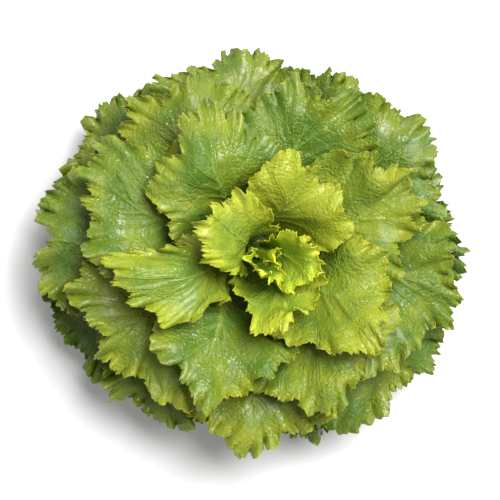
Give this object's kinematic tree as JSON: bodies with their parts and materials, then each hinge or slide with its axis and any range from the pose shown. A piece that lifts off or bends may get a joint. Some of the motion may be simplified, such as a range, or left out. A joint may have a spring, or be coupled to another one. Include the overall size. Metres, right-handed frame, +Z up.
{
  "type": "head of lettuce",
  "caption": "Head of loose-leaf lettuce: waved, frilly-edged leaves in a spiral round a short stem, standing on its cut butt.",
  "frame": {"origin": "centre of the cut butt, on the surface that the head stands on", "axes": "+Z up the stem; +X to the right and +Y to the top of the picture, which looks straight down on the head"},
  "size_m": [0.2902, 0.2799, 0.1695],
  "materials": {
    "stem": "moist cut stem, satin",
    "leaf_01": "fresh leaf, semi-gloss",
    "leaf_02": "fresh leaf, semi-gloss",
    "leaf_03": "fresh leaf, semi-gloss",
    "leaf_04": "fresh leaf, semi-gloss",
    "leaf_05": "fresh leaf, semi-gloss",
    "leaf_06": "fresh leaf, semi-gloss",
    "leaf_07": "fresh leaf, semi-gloss",
    "leaf_08": "fresh leaf, semi-gloss",
    "leaf_09": "fresh leaf, semi-gloss",
    "leaf_10": "fresh leaf, semi-gloss",
    "leaf_11": "fresh leaf, semi-gloss",
    "leaf_12": "fresh leaf, semi-gloss",
    "leaf_13": "fresh leaf, semi-gloss",
    "leaf_14": "fresh leaf, semi-gloss",
    "leaf_15": "fresh leaf, semi-gloss",
    "leaf_16": "fresh leaf, semi-gloss",
    "leaf_17": "fresh leaf, semi-gloss",
    "leaf_18": "fresh leaf, semi-gloss",
    "leaf_19": "fresh leaf, semi-gloss",
    "leaf_20": "fresh leaf, semi-gloss",
    "leaf_21": "fresh leaf, semi-gloss",
    "leaf_22": "fresh leaf, semi-gloss",
    "leaf_23": "fresh leaf, semi-gloss",
    "leaf_24": "fresh leaf, semi-gloss",
    "leaf_25": "fresh leaf, semi-gloss",
    "leaf_26": "fresh leaf, semi-gloss",
    "leaf_27": "fresh leaf, semi-gloss",
    "leaf_28": "fresh leaf, semi-gloss"
  },
  "bodies": {
    "root": {"stem": "stem", "leaf_01": "leaf_01", "leaf_02": "leaf_02", "leaf_03": "leaf_03", "leaf_04": "leaf_04", "leaf_05": "leaf_05", "leaf_06": "leaf_06", "leaf_07": "leaf_07", "leaf_08": "leaf_08", "leaf_09": "leaf_09", "leaf_10": "leaf_10", "leaf_11": "leaf_11", "leaf_12": "leaf_12", "leaf_13": "leaf_13", "leaf_14": "leaf_14", "leaf_15": "leaf_15", "leaf_16": "leaf_16", "leaf_17": "leaf_17", "leaf_18": "leaf_18", "leaf_19": "leaf_19", "leaf_20": "leaf_20", "leaf_21": "leaf_21", "leaf_22": "leaf_22", "leaf_23": "leaf_23", "leaf_24": "leaf_24", "leaf_25": "leaf_25", "leaf_26": "leaf_26", "leaf_27": "leaf_27", "leaf_28": "leaf_28"}
  },
  "joints": []
}
